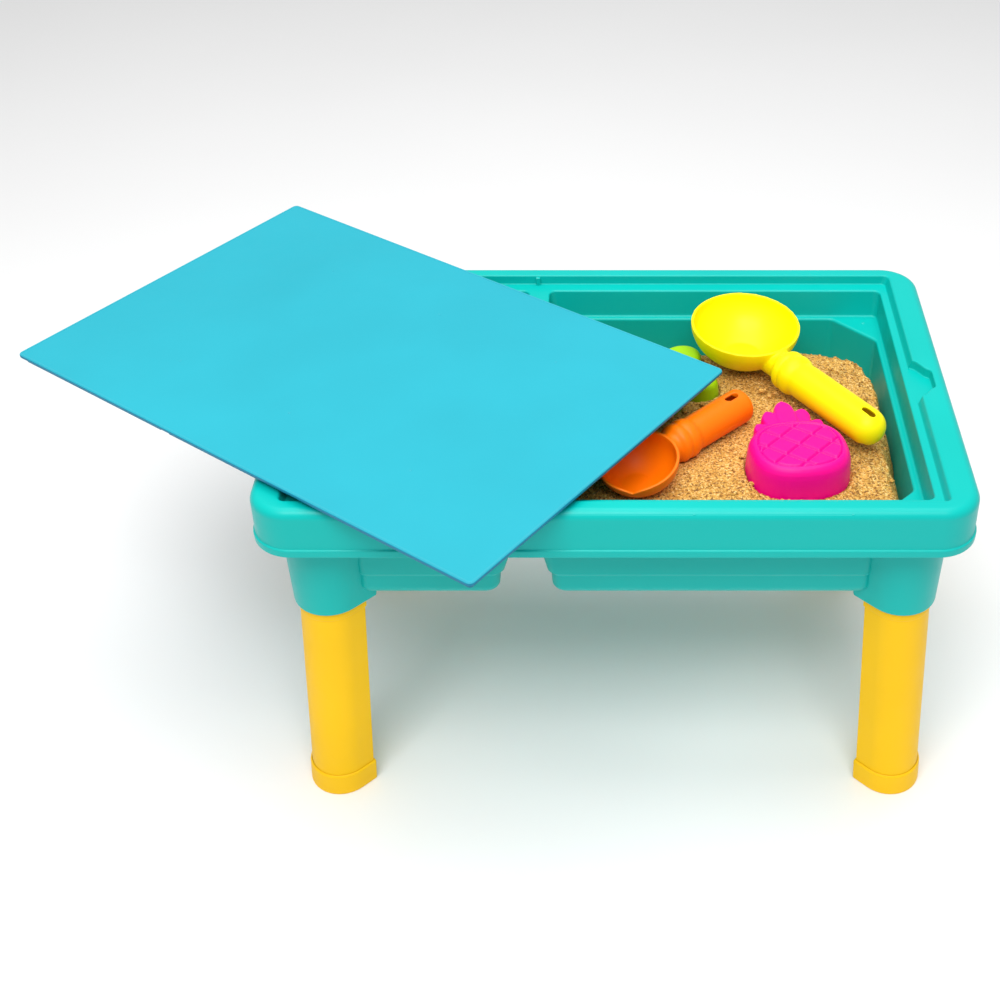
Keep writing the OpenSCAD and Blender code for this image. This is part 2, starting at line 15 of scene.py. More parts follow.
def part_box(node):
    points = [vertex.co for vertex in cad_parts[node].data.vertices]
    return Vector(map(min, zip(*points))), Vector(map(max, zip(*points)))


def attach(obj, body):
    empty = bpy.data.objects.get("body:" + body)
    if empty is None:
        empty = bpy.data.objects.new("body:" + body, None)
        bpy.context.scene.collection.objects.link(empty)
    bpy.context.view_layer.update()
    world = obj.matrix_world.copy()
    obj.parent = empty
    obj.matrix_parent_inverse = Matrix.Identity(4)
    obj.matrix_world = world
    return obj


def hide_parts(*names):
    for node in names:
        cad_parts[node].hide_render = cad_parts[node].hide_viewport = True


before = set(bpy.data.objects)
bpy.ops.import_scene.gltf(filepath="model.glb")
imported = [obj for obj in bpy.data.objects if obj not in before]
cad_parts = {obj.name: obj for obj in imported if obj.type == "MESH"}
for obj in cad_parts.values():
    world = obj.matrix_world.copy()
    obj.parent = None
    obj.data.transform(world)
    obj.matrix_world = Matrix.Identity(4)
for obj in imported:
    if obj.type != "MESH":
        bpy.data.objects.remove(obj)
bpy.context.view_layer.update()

# ---- driving sizes, in millimetres where the line doesn't say otherwise ----

MM = 0.001  # metres
TUB_LOW, TUB_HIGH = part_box("tub")  # metres
CENTRE = Vector(((TUB_LOW.x + TUB_HIGH.x) / 2, (TUB_LOW.y + TUB_HIGH.y) / 2, TUB_HIGH.z))  # metres
HALF_W = (TUB_HIGH.x - TUB_LOW.x) / 2 / MM
HALF_D = (TUB_HIGH.y - TUB_LOW.y) / 2 / MM
FLOOR = -CENTRE.z / MM
UP = Vector((0, 0, 1))

WALL = 3.0
RIM_R = 34.0
RIM_ROUND = 8.0
SKIRT = 43.0
LIP = 1.5
LIP_H = 7.0
SEAT_X = HALF_W - 26.5
SEAT_Y = HALF_D - 18.0
SEAT = 9.0
SEAT_DRAFT_X = 3.0
SEAT_DRAFT_Y = 0.5
WELL_X = SEAT_X - 9.5
WELL_Y = SEAT_Y - 12.5
WELL_DRAFT = 3.0
SHELF = 35.0
BASIN_X = WELL_X - 6.5
BASIN_Y = WELL_Y - 7.5
BASIN = 114.0
CORNER = 37.0
FLOOR_R = 8.0
STEP_UP = 21.0
STEP_IN = 1.5
DIVIDER_OFF = 70.5
DIVIDER_W = 19.0
RIGHT_X0 = DIVIDER_W / 2 - DIVIDER_OFF
LEFT_X0 = DIVIDER_W / 2 + DIVIDER_OFF
RIGHT_LEAN = 10.5
LEFT_LEAN = 15.0

LEG_R = 26.5
LEG_FLAT = 15.0
LEG_WALL = 2.6
LEAN = 0.0596  # slope along X and along Y
SOCKET = 128.7
SOCKET_X = HALF_W - 46.6
SOCKET_Y = HALF_D - 55.4
SPIGOT = 64.0
FOOT_H = 23.0
FOOT_WALL = 1.8
PLAY = 0.4
REST = 0.35

LID_H = 8.7
LID_PLATE = 3.0
LID_R = 5.0
LID_X = SEAT_X - SEAT_DRAFT_X - 1.0
LID_Y = SEAT_Y - SEAT_DRAFT_Y - 0.8
LID_TURN = -35.6  # degrees
LID_AT = (-210.0, 8.8, REST)

KEY_X = DIVIDER_OFF + 1.5  # the tub's key nubs and the lid's notches for them

TOY_WALL = 2.6
SAND_X0 = RIGHT_X0 + RIGHT_LEAN
SAND_MID = (SAND_X0 + BASIN_X) / 2
SAND_HALF = (BASIN_X - SAND_X0) / 2


def spot(fx, fy, z):
    """A place on the sand, as fractions of the larger basin's half width and half depth."""
    return Vector((SAND_MID + fx * SAND_HALF, fy * BASIN_Y, z))


# ---- mesh helpers ----

AXIS_R = 1e-4  # stands for a point on the axis until its ring is merged


def outline_arc(a, p, b, r, n):
    """The arc that rounds corner p between neighbours a and b."""
    u, v = (a - p) / np.linalg.norm(a - p), (b - p) / np.linalg.norm(b - p)
    half = math.acos(np.clip(u @ v, -1, 1)) / 2
    centre = p + (u + v) / np.linalg.norm(u + v) * r / math.sin(half)
    s = p + u * r / math.tan(half) - centre
    e = p + v * r / math.tan(half) - centre
    start = math.atan2(s[1], s[0])
    turn = (math.atan2(e[1], e[0]) - start + 3 * math.pi) % (2 * math.pi) - math.pi
    return [centre + r * np.array((math.cos(start + turn * i / n), math.sin(start + turn * i / n)))
            for i in range(n + 1)]


def rounded(corners, r, n):
    """A closed outline with every corner rounded to radius r."""
    pts = [np.array(c, float) for c in corners]
    out = []
    for i, p in enumerate(pts):
        out += outline_arc(pts[i - 1], p, pts[(i + 1) % len(pts)], r, n)
    return np.array(out)


def smoothed(pts, times=2):
    """Corner cutting: each pass halves the sharpness of an outline's corners."""
    pts = np.array(pts, float)
    for _ in range(times):
        after = np.roll(pts, -1, axis=0)
        pts = np.stack((pts * 0.75 + after * 0.25, pts * 0.25 + after * 0.75), axis=1).reshape(-1, 2)
    return pts


def grown(pts, by):
    """An outline moved outwards along its own normals."""
    d = np.roll(pts, -1, axis=0) - np.roll(pts, 1, axis=0)
    n = np.stack((d[:, 1], -d[:, 0]), axis=1) / np.maximum(np.linalg.norm(d, axis=1), 1e-9)[:, None]
    return pts + n * by


def oblong(x, y, r, n):
    """A rounded rectangle about the middle, given by its half sizes."""
    return rounded([(-x, -y), (x, -y), (x, y), (-x, y)], r, n)


def at_z(pts, z):
    return np.column_stack((pts, np.full(len(pts), z)))


def make(name, verts, faces):
    mesh = bpy.data.meshes.new(name)
    mesh.from_pydata([tuple(v) for v in verts], [], faces)
    mesh.update()
    obj = bpy.data.objects.new(name, mesh)
    bpy.context.scene.collection.objects.link(obj)
    return obj


def loft(name, rings, hubs=None):
    """A closed solid through equal-length rings, taken in order from one cap to the other.
    hubs, where given, are the centres of the two caps."""
    n, m = len(rings[0]), len(rings)
    verts = [tuple(p) for ring in rings for p in ring]
    faces = [(k * n + i, k * n + (i + 1) % n, (k + 1) * n + (i + 1) % n, (k + 1) * n + i)
             for k in range(m - 1) for i in range(n)]
    if hubs is None:
        faces.append(tuple(reversed(range(n))))
        faces.append(tuple((m - 1) * n + i for i in range(n)))
    else:
        verts += [tuple(h) for h in hubs]
        faces += [((i + 1) % n, i, m * n) for i in range(n)]
        faces += [((m - 1) * n + i, (m - 1) * n + (i + 1) % n, m * n + 1) for i in range(n)]
    return make(name, verts, faces)


def ring_skin(name, rings):
    """A closed skin through equal-length rings, the last of which joins the first."""
    n, m = len(rings[0]), len(rings)
    faces = [(k * n + i, ((k + 1) % m) * n + i, ((k + 1) % m) * n + (i + 1) % n, k * n + (i + 1) % n)
             for k in range(m) for i in range(n)]
    return flipped(make(name, [p for ring in rings for p in ring], faces))


def turned(name, profile, n=72):
    """A solid of revolution about Z; the profile is (radius, height), from the axis up to the axis."""
    angles = [2 * math.pi * i / n for i in range(n)]
    open_profile = [(max(r, AXIS_R), z) for r, z in profile]
    rings = [[(r * math.cos(a), r * math.sin(a), z) for a in angles] for r, z in open_profile]
    obj = loft(name, rings)
    bm = bmesh.new()
    bm.from_mesh(obj.data)
    bmesh.ops.remove_doubles(bm, verts=bm.verts, dist=1e-3)
    bm.to_mesh(obj.data)
    bm.free()
    return obj


def quarter(n):
    """Angles from 0 to a right angle in n steps."""
    return [math.pi / 2 * i / n for i in range(n + 1)]


def cavity(name, outline, low, high, r_low, r_top, n=6):
    """A space to cut away between two heights, with a filleted floor and a rounded upper edge.
    outline(t, grow) is its section, t from 0 at the top to 1 at the floor."""
    rows = [(-r_low * (1 - math.sin(a)), low + r_low * (1 - math.cos(a))) for a in quarter(n)]
    rows += [(r_top * (1 - math.cos(a)), high - r_top * (1 - math.sin(a))) for a in quarter(n)]
    rows.append((r_top + 0.5, high + 0.06))
    return loft(name, [at_z(outline((high - z) / (high - low), g), z) for g, z in rows])


def flipped(obj):
    """Turns every face of a mesh to look the other way."""
    obj.data.flip_normals()
    return obj


def shifted(obj, matrix):
    """Moves a mesh, and turns its faces back where the matrix mirrors it."""
    obj.data.transform(matrix)
    return flipped(obj) if matrix.determinant() < 0 else obj


def copy_of(obj, matrix):
    new = bpy.data.objects.new(obj.name + ".copy", obj.data.copy())
    bpy.context.scene.collection.objects.link(new)
    return shifted(new, matrix)


def applied(obj):
    """Puts the result of an object's modifiers into its mesh."""
    dg = bpy.context.evaluated_depsgraph_get()
    mesh = bpy.data.meshes.new_from_object(obj.evaluated_get(dg))
    obj.modifiers.clear()
    obj.data = mesh
    return obj


def combined(obj, others, how):
    for other in others:
        cut = obj.modifiers.new("combine", "BOOLEAN")
        cut.operation = how
        cut.object = other
        cut.solver = "MANIFOLD"
    applied(obj)
    for other in others:
        bpy.data.objects.remove(other)
    return obj


def joined(obj, *others):
    return combined(obj, others, "UNION")


def cut_by(obj, *others):
    return combined(obj, others, "DIFFERENCE")


def melted(obj, voxel, rounds):
    """Runs the pieces of a moulding into one skin, with soft fillets where they meet."""
    remesh = obj.modifiers.new("remesh", "REMESH")
    remesh.mode = "VOXEL"
    remesh.voxel_size = voxel
    smooth = obj.modifiers.new("smooth", "SMOOTH")
    smooth.factor = 0.5
    smooth.iterations = rounds
    return applied(obj)


MIRROR_X = Matrix.Diagonal((-1, 1, 1, 1))
MIRROR_Y = Matrix.Diagonal((1, -1, 1, 1))
QUARTERS = {"rear_right": Matrix.Identity(4), "rear_left": MIRROR_X, "front_right": MIRROR_Y,
            "front_left": MIRROR_X @ MIRROR_Y}


def block(name, x, y, z, r):
    """A small bar with bevelled edges, between limits along each axis."""
    half_x, half_y = (x[1] - x[0]) / 2, (y[1] - y[0]) / 2
    rows = [(-r, z[0]), (-r * 0.3, z[0] + r * 0.3), (0, z[0] + r),
            (0, z[1] - r), (-r * 0.3, z[1] - r * 0.3), (-r, z[1])]
    middle = np.array((sum(x) / 2, sum(y) / 2))
    return loft(name, [at_z(oblong(half_x + g, half_y + g, max(0.25, r + g), 3) + middle, h)
                       for g, h in rows])


# ---- materials ----

# noise scales, per metre
CLOUD_SCALE, GLOSS_SCALE, GRAIN_SCALE, WAVE_SCALE = 7.0, 60.0, 1700.0, 26.0
SAND_GRAIN_SCALE, SAND_PIT_SCALE, SAND_PATCH_SCALE = 820.0, 420.0, 55.0


def node_of(tree, kind, **inputs):
    node = tree.nodes.new(kind)
    for key, value in inputs.items():
        node.inputs[key.replace("_", " ")].default_value = value
    return node


def object_place(tree, stretch=(1, 1, 1), turn=0.0):
    """Object coordinates, stretched and turned, as a texture's place."""
    place = tree.nodes.new("ShaderNodeTexCoord")
    mapping = tree.nodes.new("ShaderNodeMapping")
    mapping.inputs["Scale"].default_value = stretch
    mapping.inputs["Rotation"].default_value = (0, 0, turn)
    tree.links.new(place.outputs["Object"], mapping.inputs["Vector"])
    return mapping.outputs["Vector"]


def noise_of(tree, place, scale, detail, roughness=0.5):
    tex = node_of(tree, "ShaderNodeTexNoise", Scale=scale, Detail=detail, Roughness=roughness)
    tree.links.new(place, tex.inputs["Vector"])
    return tex.outputs["Fac"]


def ramp_of(tree, source, stops):
    ramp = tree.nodes.new("ShaderNodeValToRGB")
    while len(ramp.color_ramp.elements) < len(stops):
        ramp.color_ramp.elements.new(0.5)
    for element, (where, colour) in zip(ramp.color_ramp.elements, stops):
        element.position = where
        element.color = (*colour, 1) if len(colour) == 3 else colour
    tree.links.new(source, ramp.inputs["Fac"])
    return ramp.outputs["Color"]


def range_of(tree, source, low, high, start=0.3, end=0.7):
    node = tree.nodes.new("ShaderNodeMapRange")
    node.inputs["From Min"].default_value = start
    node.inputs["From Max"].default_value = end
    node.inputs["To Min"].default_value = low
    node.inputs["To Max"].default_value = high
    tree.links.new(source, node.inputs["Value"])
    return node.outputs["Result"]


def bump_of(tree, source, strength, distance, before=None):
    node = node_of(tree, "ShaderNodeBump", Strength=strength, Distance=distance)
    tree.links.new(source, node.inputs["Height"])
    if before is not None:
        tree.links.new(before, node.inputs["Normal"])
    return node.outputs["Normal"]


def shader(name):
    material = bpy.data.materials.new(name)
    material.use_nodes = True
    tree = material.node_tree
    return material, tree, tree.nodes["Principled BSDF"]


def tinted(colour, factor):
    return tuple(min(1.0, c * factor) for c in colour)


def painted_side_shade(tree, colour, side):
    """Painted shade: turns a colour into the given darker one on faces that stand upright."""
    place = tree.nodes.new("ShaderNodeTexCoord")
    split = tree.nodes.new("ShaderNodeSeparateXYZ")
    tree.links.new(place.outputs["Normal"], split.inputs["Vector"])
    mix = tree.nodes.new("ShaderNodeMix")
    mix.data_type = "RGBA"
    mix.inputs["B"].default_value = (*side, 1)
    tree.links.new(colour, mix.inputs["A"])
    tree.links.new(range_of(tree, split.outputs["Z"], 1.0, 0.0, 0.35, 0.85), mix.inputs["Factor"])
    return mix.outputs["Result"]


def plastic(name, colour, rough, scuffs=0.0, glow=0.0, rim=0.35, side=None):
    """Moulded plastic: faint flow clouds, uneven gloss, a fine eroded texture and painted highlights on sharp
    edges.
    scuffs adds hairlines, glow lets light in, rim pales the edges as a painted highlight and side paints
    shade on upright faces."""
    material, tree, surface = shader(name)
    place = object_place(tree)
    clouds = noise_of(tree, place, CLOUD_SCALE, 4.0)
    tone = ramp_of(tree, clouds, [(0.3, tinted(colour, 0.95)), (0.7, tinted(colour, 1.03))])
    # Painted highlight: pointy edges are mixed towards a paler colour, by the share rim.
    edge_finder = tree.nodes.new("ShaderNodeNewGeometry")
    edge_highlight_mask = range_of(tree, edge_finder.outputs["Pointiness"], 0.0, 0.16, 0.52, 0.62)
    edge = tree.nodes.new("ShaderNodeMix")
    edge.data_type = "RGBA"
    edge.inputs["B"].default_value = (*[c + (1 - c) * rim for c in colour], 1)
    tree.links.new(tone, edge.inputs["A"])
    tree.links.new(edge_highlight_mask, edge.inputs["Factor"])
    colour_with_painted_light = edge.outputs["Result"]
    # Painted shade: upright faces are mixed towards the darker side colour.
    if side is not None:
        colour_with_painted_light = painted_side_shade(tree, colour_with_painted_light, side)
    tree.links.new(colour_with_painted_light, surface.inputs["Base Color"])
    gloss = noise_of(tree, place, GLOSS_SCALE, 5.0, 0.6)
    tree.links.new(range_of(tree, gloss, rough - 0.04, rough + 0.07), surface.inputs["Roughness"])
    normal = bump_of(tree, noise_of(tree, place, GRAIN_SCALE, 2.0), 0.25, 0.00006)
    normal = bump_of(tree, noise_of(tree, place, WAVE_SCALE, 2.0), 0.35, 0.00012, normal)
    if scuffs:
        for turn in (0.4, 1.3, 2.5):
            streaks = noise_of(tree, object_place(tree, (6, 420, 60), turn), 1.0, 2.0)
            fine = range_of(tree, streaks, 0.0, 1.0, 0.69, 0.74)
            normal = bump_of(tree, fine, scuffs, 0.00004, normal)
    tree.links.new(normal, surface.inputs["Normal"])
    surface.inputs["Subsurface Weight"].default_value = glow
    surface.inputs["Subsurface Radius"].default_value = (0.006, 0.006, 0.006)
    surface.inputs["IOR"].default_value = 1.5
    surface.inputs["Specular IOR Level"].default_value = 0.22
    return material


def sand_stuff():
    """Damp play sand: mixed pale and brown grains with dark specks, partly dark grains and partly painted
    shade in the pits.
    """
    material, tree, surface = shader("sand_grains")
    place = object_place(tree)
    grains = tree.nodes.new("ShaderNodeTexVoronoi")
    grains.inputs["Scale"].default_value = SAND_GRAIN_SCALE
    tree.links.new(place, grains.inputs["Vector"])
    split = tree.nodes.new("ShaderNodeSeparateColor")
    tree.links.new(grains.outputs["Color"], split.inputs["Color"])
    grain_tone = ramp_of(tree, split.outputs["Red"], [
        (0.0, (0.40, 0.19, 0.035)), (0.35, (0.66, 0.36, 0.075)),
        (0.75, (0.80, 0.48, 0.12)), (1.0, (0.95, 0.68, 0.28))])
    patches = ramp_of(tree, noise_of(tree, place, SAND_PATCH_SCALE, 4.0, 0.6),
                      [(0.35, (0.86, 0.80, 0.72)), (0.65, (1.0, 1.0, 1.0))])
    blend = tree.nodes.new("ShaderNodeMix")
    blend.data_type = "RGBA"
    blend.blend_type = "MULTIPLY"
    blend.inputs["Factor"].default_value = 1.0
    tree.links.new(grain_tone, blend.inputs["A"])
    tree.links.new(patches, blend.inputs["B"])
    # Dark specks in the pits of the bump: the sand's dark grains together with painted shade in those
    # hollows.
    pits = range_of(tree, noise_of(tree, place, SAND_PIT_SCALE, 3.0, 0.6), 1.0, 0.0, 0.37, 0.47)
    dark = tree.nodes.new("ShaderNodeMix")
    dark.data_type = "RGBA"
    dark.inputs["B"].default_value = (0.22, 0.10, 0.025, 1)
    tree.links.new(blend.outputs["Result"], dark.inputs["A"])
    tree.links.new(pits, dark.inputs["Factor"])
    tree.links.new(dark.outputs["Result"], surface.inputs["Base Color"])
    normal = bump_of(tree, grains.outputs["Distance"], 0.6, 0.0006)
    normal = bump_of(tree, noise_of(tree, place, SAND_PIT_SCALE, 3.0, 0.6), 0.8, 0.0012, normal)
    tree.links.new(normal, surface.inputs["Normal"])
    tree.links.new(range_of(tree, split.outputs["Green"], 0.75, 0.95, 0.0, 1.0), surface.inputs["Roughness"])
    surface.inputs["Specular IOR Level"].default_value = 0.25
    return material


# The side colours are painted shade on upright faces; rim sets each material's painted edge highlight.
TEAL = plastic("tub_teal", (0.0, 0.49, 0.44), rough=0.36, side=(0.0, 0.45, 0.41))
BLUE = plastic("lid_blue", (0.020, 0.39, 0.49), rough=0.42, scuffs=0.5, side=(0.006, 0.20, 0.33))
LEG_YELLOW = plastic("leg_yellow", (0.94, 0.55, 0.0), rough=0.46, rim=0.1)
YELLOW = plastic("scoop_yellow", (1.0, 0.86, 0.0), rough=0.42, glow=0.05, rim=0.15)
ORANGE = plastic("scoop_orange", (1.0, 0.185, 0.0), rough=0.40, glow=0.1)
PINK = plastic("mould_pink", (1.0, 0.0, 0.28), rough=0.38, glow=0.1, rim=0.12)
GREEN = plastic("mould_green", (0.36, 0.68, 0.005), rough=0.40, glow=0.1)
SAND = sand_stuff()


# ---- settling a finished piece into the frame ----


def settle(obj, name, material, body, slot, *nodes, sharp=38.0):
    """Metres, the frame's place, shading, material, and what the piece rides on and stands for."""
    obj.data.transform(Matrix.Translation(CENTRE) @ Matrix.Diagonal((MM, MM, MM, 1)))
    obj.name = name
    obj.data.name = name
    obj.data.materials.clear()
    obj.data.materials.append(material)
    obj.data.polygons.foreach_set("use_smooth", [True] * len(obj.data.polygons))
    obj.data.set_sharp_from_angle(angle=math.radians(sharp))
    weighted = obj.modifiers.new("normals", "WEIGHTED_NORMAL")
    weighted.keep_sharp = True
    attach(obj, body)
    if nodes:
        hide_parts(*nodes)
    return obj


# ---- tub ----


def rim_rings(rows, n=12):
    return [at_z(oblong(HALF_W - inset, HALF_D - inset, RIM_R - inset, n), z) for inset, z in rows]


def rim_outer():
    rows = [(0.9, -SKIRT), (0.3, 0.25 - SKIRT), (0, 0.9 - SKIRT), (0, LIP_H - 1.0 - SKIRT),
            (0.12, LIP_H - 0.5 - SKIRT), (0.5, LIP_H - 0.1 - SKIRT), (1.1, LIP_H + 0.15 - SKIRT),
            (1.4, LIP_H + 0.5 - SKIRT), (LIP, LIP_H + 1.2 - SKIRT)]
    edge = LIP + 0.5
    rows += [(edge + RIM_ROUND * (1 - math.cos(a)), RIM_ROUND * (math.sin(a) - 1)) for a in quarter(10)]
    return loft("tub", rim_rings(rows))


def rim_under():
    i = LIP + 0.5 + WALL
    rows = [(WALL, -SKIRT - 1), (WALL, LIP_H - 1 - SKIRT), (i, LIP_H + 1 - SKIRT), (i + 0.5, -RIM_ROUND)]
    rows += [(i + 0.5 + 4 * (1 - math.cos(a)), 5 * math.sin(a) - RIM_ROUND) for a in quarter(4)[1:]]
    return loft("under", rim_rings(rows))


def seat_outline(t, grow):
    return oblong(SEAT_X - SEAT_DRAFT_X * t + grow, SEAT_Y - SEAT_DRAFT_Y * t + grow, 5 + max(grow, -3), 8)


def seat_outer():
    return loft("seat", [at_z(seat_outline(1, WALL), -SEAT - WALL), at_z(seat_outline(0, WALL), -0.5)])


def well_outline(x0, lean):
    """The section of a well between the lid's seat and the shelf, for the given divider side."""
    def section(t, grow):
        left, right, y = x0 + lean * 0.2 * t - grow, WELL_X - 0.5 * t + grow, WELL_Y - WELL_DRAFT * t + grow
        return rounded([(left, -y), (right, -y), (right, y), (left, y)], 6 + max(grow, -3), 8)
    return section


def well_outer(x0, lean):
    section = well_outline(x0, lean)
    return loft("well", [at_z(section(1, WALL), -SHELF - WALL), at_z(section(0, WALL), -SEAT - WALL / 2)])


# rows of a basin's walls above its floor fillet: share of the divider's lean, inset and height
BASIN_ROWS = [(0.96, STEP_IN + 0.5, STEP_UP - 2.2), (0.93, STEP_IN + 0.3, STEP_UP - 1.2),
              (0.86, 0.9, STEP_UP + 0.6), (0.8, 0.5, STEP_UP + 1.8), (0.56, 0.4, STEP_UP + 14)]


def basin_section(x0, inset, grow, z):
    """The section of one basin: a rectangle whose two outer corners are cut off."""
    right, y, left = BASIN_X - inset + grow, BASIN_Y - inset + grow, x0 + inset - grow
    cut = CORNER + 0.586 * (grow - inset)
    corners = [(left, -y), (right - cut, -y), (right, cut - y), (right, y - cut), (right - cut, y), (left, y)]
    return at_z(rounded(corners, 9, 6), z)


def basin(x0, lean, grow, flare=0.0):
    """The whole space of one basin, grown by a wall for its outside.
    flare rounds its upper edge into the shelf."""
    base = FLOOR_R - BASIN
    reach = FLOOR_R + grow
    rings = [basin_section(x0 + lean, FLOOR_R + STEP_IN + 0.5 - reach * math.sin(a), 0,
                           base - reach * math.cos(a)) for a in quarter(6)]
    rings += [basin_section(x0 + lean * share, inset, grow, up - BASIN) for share, inset, up in BASIN_ROWS]
    top = -SHELF - WALL if grow > 0 else -SHELF
    x_top = x0 + lean * 0.2
    if not flare:
        return loft("basin", rings + [basin_section(x_top, 0, grow, top)])
    rings += [basin_section(x_top, -flare * (1 - math.cos(a)), grow, top - flare * (1 - math.sin(a)))
              for a in quarter(6)]
    return loft("basin", rings + [basin_section(x_top, -flare - 0.5, grow, top + 0.06)])


SIDES = [(Matrix.Identity(4), RIGHT_X0, RIGHT_LEAN), (MIRROR_X, LEFT_X0, LEFT_LEAN)]


def leg_section(r, flat, z, back=1.2, n=20):
    """A leg's section at a height, nose outwards, in the right rear quarter."""
    d = -LEAN * (z + SOCKET)
    c = np.array((SOCKET_X + d, SOCKET_Y + d))
    q = math.sqrt(0.5)
    nose = [c + r * np.array((math.cos(a), math.sin(a)))
            for a in (math.radians(-45 + 180 * i / n) for i in range(n + 1))]
    one, two = c + q * np.array((-r - flat, r - flat)), c + q * np.array((r - flat, -r - flat))
    corners = outline_arc(nose[-1], one, two, back, 4) + outline_arc(one, two, nose[0], back, 4)
    return at_z(np.array(nose + corners), z)


def boss():
    """The outside of one leg socket, which widens upwards."""
    r, flat, top = LEG_R + 4.3, LEG_FLAT + 9, SHELF + WALL
    mouth = 2.2
    rings = [leg_section(r - mouth * (1 - math.sin(a)), flat - mouth * (1 - math.sin(a)),
                         mouth * (1 - math.cos(a)) - SOCKET) for a in quarter(5)]
    growth = 0.085 * (SOCKET - top)
    return loft("boss", rings + [leg_section(r + growth, flat + growth, 0.5 - top)])


def socket():
    """The space in a boss that a leg is pushed into, clear of the basin above it."""
    hole = loft("socket", [leg_section(LEG_R + PLAY, LEG_FLAT + PLAY, -SOCKET - 1),
                           leg_section(LEG_R + PLAY, LEG_FLAT + PLAY, SPIGOT + 2 - SOCKET)])
    return cut_by(hole, basin(RIGHT_X0, RIGHT_LEAN, WALL))


NOTCH = smoothed([(-5, -30), (1.5, -28), (6, -22), (9, -17.5), (12.8, -15.2), (13.5, -12), (13.5, 6.5),
                  (12.8, 9.6), (9, 12), (6, 17), (1.5, 24), (-5, 26)]) + np.array((SEAT_X, 0))


def notch_section(_, grow):
    """The finger notch's section, the same at every height."""
    return grown(NOTCH, grow)


def finger_notch():
    return cavity("notch", notch_section, -SEAT - 0.03, 0, 1.2, 1.6, 4)


def notch_wall():
    return loft("notch_wall", [at_z(grown(NOTCH, WALL), z) for z in (-SEAT - WALL, -0.5)])


def rim_webs():
    """Thin webs that stiffen the rim from below."""
    webs = []
    for sx in (-1, 1):
        for y in (-108, 108):
            x = sorted((sx * (HALF_W - WALL - 0.5), sx * (SEAT_X + 0.5)))
            webs.append(block("web", x, (y - 1, y + 1), (-25, -2.5), 0.3))
    for sy in (-1, 1):
        for x in (-180, -60, 60, 180):
            y = sorted((sy * (HALF_D - WALL - 0.5), sy * (SEAT_Y + 0.5)))
            webs.append(block("web", (x - 1, x + 1), y, (-19, -2.5), 0.3))
    return webs


def gate_pip(x, y, z, r=1.6):
    """The small dot that an injection point leaves."""
    pip = turned("pip", [(0, -0.4), (r, -0.4), (r, 0.05), (r * 0.8, 0.22), (r * 0.4, 0.3), (0, 0.3)], 20)
    return shifted(pip, Matrix.Translation((x, y, z)))


def build_tub():
    tub = cut_by(rim_outer(), rim_under())
    outside = [seat_outer()]
    for mirror, x0, lean in SIDES:
        outside += [shifted(well_outer(x0, lean), mirror), shifted(basin(x0, lean, WALL), mirror)]
        outside.append(shifted(notch_wall(), mirror))
    bosses = boss()
    outside += [copy_of(bosses, m) for m in QUARTERS.values()]
    bpy.data.objects.remove(bosses)
    joined(tub, *outside, *rim_webs())
    holes = [cavity("seat", seat_outline, -SEAT, 0, 1.0, 1.8)]
    for mirror, x0, lean in SIDES:
        well = cavity("well", well_outline(x0, lean), -SHELF, -SEAT, 2.0, 1.8)
        holes += [shifted(hole, mirror) for hole in (well, basin(x0, lean, 0.0, 2.6), finger_notch())]
    sockets = socket()
    holes += [copy_of(sockets, m) for m in QUARTERS.values()]
    bpy.data.objects.remove(sockets)
    cut_by(tub, *holes)
    keys = []
    for sy in (-1, 1):
        y = sorted((sy * (SEAT_Y + 1), sy * (SEAT_Y - 3.1)))
        keys.append(block("key", (-KEY_X - 2, -KEY_X + 2), y, (-SEAT - 1, -1.5), 0.7))
        keys.append(gate_pip(BASIN_X - 8, sy * (BASIN_Y - 8), -SHELF))
        keys.append(gate_pip(-BASIN_X + 8, sy * (BASIN_Y - 8), -SHELF))
    joined(tub, *keys)
    return settle(tub, "tub_moulding", TEAL, "table", "tub_plastic", "tub")


# ---- legs and feet ----


def build_leg(quarter_name, matrix):
    edge, collar, out = -SOCKET - REST, 8.0, 0.9
    foot_z, top = FLOOR + WALL + 0.2, SPIGOT - SOCKET
    # up the inside, over the top and down the outside, past the collar under the socket's mouth
    rows = [(-LEG_WALL, foot_z), (-LEG_WALL, top), (-1.4, top), (0, top - 2), (0, edge + 0.01),
            (out - 0.35, edge), (out, edge - 0.8), (out, edge - collar + 1), (out - 0.2, edge - collar + 0.3),
            (0.3, edge - collar - 0.2), (0.02, edge - collar - 0.9), (0.5, foot_z)]
    leg = ring_skin("leg", [leg_section(LEG_R + g, LEG_FLAT + g, z) for g, z in rows])
    cut_by(leg, basin(RIGHT_X0, RIGHT_LEAN, WALL + PLAY))
    shifted(leg, matrix)
    node = "leg_" + quarter_name
    return settle(leg, node + "_tube", LEG_YELLOW, "table", "leg_plastic", node)


def build_foot(quarter_name, matrix):
    r, flat, high = LEG_R + 0.5, LEG_FLAT + 0.5, FLOOR + FOOT_H
    outside = [(-1.6, FLOOR), (-0.7, FLOOR + 0.25), (-0.2, FLOOR + 0.8), (0, FLOOR + 1.7), (0, high - 2.6),
               (-0.15, high - 1.5), (-0.6, high - 0.6), (-1.2, high - 0.1), (-1.45, high)]
    rings = [leg_section(r + FOOT_WALL + g, flat + FOOT_WALL + g, z, 2.0) for g, z in outside]
    rings += [leg_section(r + 0.25, flat + 0.25, z, 1.6) for z in (high - 0.3, FLOOR + WALL)]
    foot = shifted(loft("foot", rings), matrix)
    node = "foot_" + quarter_name
    return settle(foot, node + "_cap", LEG_YELLOW, "table", "leg_plastic", node)


# ---- lid ----


